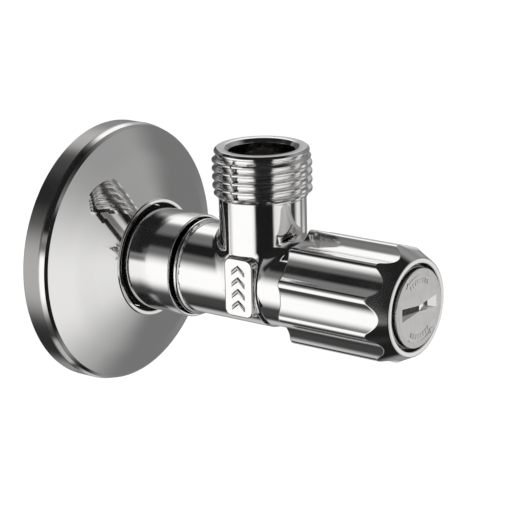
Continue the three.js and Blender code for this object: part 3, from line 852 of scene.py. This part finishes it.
def polished_silver():
    """The bright floor of the cap's recess, and its turned edge."""
    finish = Finish("silver_polished", (0.8, 0.79, 0.78), 1.0, 0.1)
    finish.dull(finish.ramp(finish.noise(0.5), 0.4, 0.7), 0.06)
    finish.relief(finish.noise(0.9, detail=1), 0.002)
    return finish.material


def brass():
    """Turned brass with tool marks round the barrel's axis and darker tarnish."""
    finish = Finish("brass", (0.72, 0.5, 0.2), 1.0, 0.24)
    rings, _ = finish.round_the_barrel()
    marks = finish.noise(0.15, (1, 60, 1), rings)
    finish.dull(finish.ramp(marks, 0.35, 0.7), 0.1)
    finish.tint(finish.ramp(finish.noise(3, detail=4), 0.48, 0.75), (0.5, 0.32, 0.12))
    finish.relief(marks, 0.002)
    return finish.material


def steel():
    """Zinc-plated steel, slightly mottled."""
    finish = Finish("steel", (0.6, 0.6, 0.62), 1.0, 0.3)
    finish.tint(finish.ramp(finish.noise(0.8, detail=4), 0.4, 0.7), (0.5, 0.51, 0.55))
    finish.dull(finish.ramp(finish.noise(0.4), 0.4, 0.7), 0.12)
    finish.relief(finish.noise(0.2), 0.002)
    return finish.material


def rubber():
    """Matt black rubber with a moulded grain."""
    finish = Finish("rubber", (0.018, 0.018, 0.018), 0.0, 0.62)
    finish.dull(finish.ramp(finish.noise(1.2, detail=4), 0.4, 0.7), 0.15)
    finish.relief(finish.noise(0.12), 0.006)
    return finish.material


def seal_white():
    """White PTFE, waxy and slightly uneven."""
    finish = Finish("seal_white", (0.84, 0.84, 0.81), 0.0, 0.38)
    finish.tint(finish.ramp(finish.noise(1.5, detail=4), 0.4, 0.75), (0.77, 0.77, 0.73))
    finish.dull(finish.ramp(finish.noise(0.7), 0.4, 0.7), 0.12)
    finish.relief(finish.noise(0.5), 0.006)
    return finish.material


def hub_plastic():
    """Cream moulded acetal."""
    finish = Finish("hub_plastic", (0.76, 0.71, 0.6), 0.0, 0.34)
    finish.tint(finish.ramp(finish.noise(2, detail=4), 0.4, 0.75), (0.7, 0.65, 0.53))
    finish.dull(finish.ramp(finish.noise(0.3), 0.4, 0.7), 0.1)
    finish.relief(finish.noise(0.25), 0.004)
    return finish.material


def polish_recess(cap, satin, polished):
    """Gives the cap's recess and its turned edge the polished finish and the rest the satin one."""
    cap.data.materials.clear()
    cap.data.materials.append(satin)
    cap.data.materials.append(polished)
    margin = 0.1
    for face in cap.data.polygons:
        x, y, z = face.center / MM
        below = CAP_BACK + 0.2 < -y < CAP_FACE - 0.015
        in_slot = abs(z) < SLOT_RAMPS["end_width"] / 2 + margin and abs(x) < SLOT_RAMPS["reach"] + margin
        on_edge = math.hypot(x, z) > CAP_RADIUS - margin
        face.material_index = int(below and (in_slot or on_edge))


def finish_body(body, *materials):
    """Gives the body its bright finish, and its bores, chevrons and threads their own."""
    bright, bare, forged, thread = range(4)
    body.data.materials.clear()
    for material in materials:
        body.data.materials.append(material)
    for face in body.data.polygons:
        x, y, z = face.center / MM
        from_outlet = math.hypot(x, y + OUTLET_FROM_WALL)
        in_barrel = math.hypot(x, z) < CHAMBER["hole"] + 0.1
        in_outlet = from_outlet < OUTLET_BORE + 0.15 and BARE_OUTLET[0] < z < BARE_OUTLET[1]
        in_inlet_end = y > -INLET_END - 0.8
        on_outlet_thread = OUTLET_THREAD_FOOT < z < OUTLET_TOP - OUTLET_RIM["height"]
        on_inlet_thread = y > -INLET_THREAD_FOOT and not in_barrel
        if on_inlet_thread or (on_outlet_thread and from_outlet > OUTLET_BORE + 0.5):
            face.material_index = thread
        elif x < -PANEL["face"] - 0.01:
            face.material_index = forged
        elif in_outlet or (in_barrel and not in_inlet_end):
            face.material_index = bare
        else:
            face.material_index = bright


# Camera


def camera():
    """The photograph's view of the valve."""
    azimuth, elevation, roll = (math.radians(CAMERA[name]) for name in ("azimuth", "elevation", "roll"))
    back = Vector((math.sin(azimuth) * math.cos(elevation),
                   -math.cos(azimuth) * math.cos(elevation),
                   math.sin(elevation)))
    level = Vector((math.cos(azimuth), math.sin(azimuth), 0))
    upright = back.cross(level)
    right = level * math.cos(roll) + upright * math.sin(roll)
    up = upright * math.cos(roll) - level * math.sin(roll)
    place = Vector((0, -OUTLET_FROM_WALL, 0))
    place += right * CAMERA["right"] + up * CAMERA["up"] + back * CAMERA["distance"]
    lens = bpy.data.cameras.new("camera")
    lens.sensor_width = CAMERA["sensor"]
    lens.lens = CAMERA["lens"]
    lens.clip_start = CAMERA["clip"]
    view = bpy.data.objects.new("camera", lens)
    turn = Matrix((right, up, back)).transposed().to_4x4()
    view.matrix_world = Matrix.Translation(place * MM) @ turn
    bpy.context.scene.collection.objects.link(view)
    bpy.context.scene.camera = view


# Studio


def mix(nodes, links, factor, first, second):
    """Adds a colour mix to a node tree and returns its result. Inputs are sockets or plain values."""
    node = nodes.new("ShaderNodeMix")
    node.data_type = "RGBA"
    for socket, value in zip((node.inputs[0], node.inputs[6], node.inputs[7]), (factor, first, second)):
        if isinstance(value, bpy.types.NodeSocket):
            links.new(value, socket)
        else:
            socket.default_value = value
    return node.outputs[2]


def maths(nodes, links, operation, *values):
    """Adds a maths node and returns its result. Inputs are sockets or numbers."""
    node = nodes.new("ShaderNodeMath")
    node.operation = operation
    for socket, value in zip(node.inputs, values):
        if isinstance(value, bpy.types.NodeSocket):
            links.new(value, socket)
        else:
            socket.default_value = value
    return node.outputs[0]


def grey(level):
    """A neutral colour."""
    return (level, level, level, 1)


def panel_mask(nodes, links, direction, outline):
    """How far a direction of the world lies inside a soft-edged panel, from 0 to 1."""
    azimuth, elevation, half_width, half_height, softness = map(math.radians, outline)
    middle = Vector((math.cos(azimuth) * math.cos(elevation),
                     math.sin(azimuth) * math.cos(elevation),
                     math.sin(elevation)))
    right = Vector((-math.sin(azimuth), math.cos(azimuth), 0))
    up = middle.cross(right)
    parts = []
    for axis in (middle, right, up):
        dot = nodes.new("ShaderNodeVectorMath")
        dot.operation = "DOT_PRODUCT"
        links.new(direction, dot.inputs[0])
        dot.inputs[1].default_value = axis
        parts.append(dot.outputs["Value"])
    across = maths(nodes, links, "ABSOLUTE", maths(nodes, links, "ARCTAN2", parts[1], parts[0]))
    height = maths(nodes, links, "ABSOLUTE", maths(nodes, links, "ARCSINE", parts[2]))
    masks = []
    for angle, half in ((across, half_width), (height, half_height)):
        edge = nodes.new("ShaderNodeMapRange")
        edge.interpolation_type = "SMOOTHSTEP"
        links.new(angle, edge.inputs["Value"])
        edge.inputs["From Min"].default_value = half + softness
        edge.inputs["From Max"].default_value = half - softness
        masks.append(edge.outputs[0])
    return maths(nodes, links, "MULTIPLY", *masks)


def studio():
    """A white room, with the panels for what the metal reflects."""
    world = bpy.data.worlds.new("studio")
    bpy.context.scene.world = world
    world.use_nodes = True
    nodes, links = world.node_tree.nodes, world.node_tree.links
    direction = nodes.new("ShaderNodeTexCoord").outputs["Generated"]
    reflected = grey(STUDIO_FILL)
    for *outline, brightness in STUDIO_PANELS:
        mask = panel_mask(nodes, links, direction, outline)
        reflected = mix(nodes, links, mask, reflected, grey(brightness))
    path = nodes.new("ShaderNodeLightPath")
    light = mix(nodes, links, path.outputs["Is Glossy Ray"], grey(STUDIO_LIGHT), reflected)
    links.new(light, nodes["Background"].inputs["Color"])
    bpy.context.scene.view_settings.view_transform = "Standard"


def floor():
    """A plain pale floor well below the valve, which the metal doesn't reflect."""
    reach, level = FLOOR["reach"], FLOOR["level"]
    corners = [(x * reach, y * reach, level) for x, y in ((-1, -1), (1, -1), (1, 1), (-1, 1))]
    mesh = bpy.data.meshes.new("floor")
    mesh.from_pydata(corners, [], [(0, 1, 2, 3)])
    ground = bpy.data.objects.new("floor", mesh)
    ground.visible_glossy = False
    bpy.context.scene.collection.objects.link(ground)
    pale = bpy.data.materials.new("floor")
    pale.use_nodes = True
    shader = pale.node_tree.nodes["Principled BSDF"]
    shader.inputs["Base Color"].default_value = grey(FLOOR["shade"])
    shader.inputs["Roughness"].default_value = 0.9
    mesh.materials.append(pale)


camera()
studio()
floor()
finishes = {
    "chrome": chrome(),
    "plate_chrome": plate_chrome(),
    "silver_cap": satin_silver(),
    "brass": brass(),
    "steel": steel(),
    "rubber": rubber(),
    "seal_white": seal_white(),
    "hub_plastic": hub_plastic(),
}
special = {"inlet_sleeve": chrome("chrome_sleeve", 0.08), "handle": chrome("chrome_knob", 0.07)}
slot_of = {part["node"]: part["material_slot"] for part in frame["record"]["subparts"]}
body_of = {node: body for body, nodes in frame["record"]["behaviour"]["bodies"].items() for node in nodes}
fine_pieces = {
    "valve_body": valve_body,
    "inlet_sleeve": inlet_sleeve,
    "inlet_seal_ring": inlet_seal_ring,
    "escutcheon": escutcheon,
    "escutcheon_grip_ring": escutcheon_grip_ring,
    "handle": handle,
    "handle_cap": handle_cap,
}
for node, cad_object in frame["nodes"].items():
    finish = special.get(node, finishes[slot_of[node]])
    if node not in fine_pieces:
        for place in cad_object.material_slots:
            place.material = finish
        continue
    piece = fine_pieces[node]()
    piece.data.materials.clear()
    piece.data.materials.append(finish)
    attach(piece, body_of[node])
    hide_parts(node)
    if node == "handle_cap":
        polish_recess(piece, finish, polished_silver())
    if node == "valve_body":
        finish_body(piece, finish, finishes["brass"], forged_chrome(), chrome("chrome_thread", 0.12))
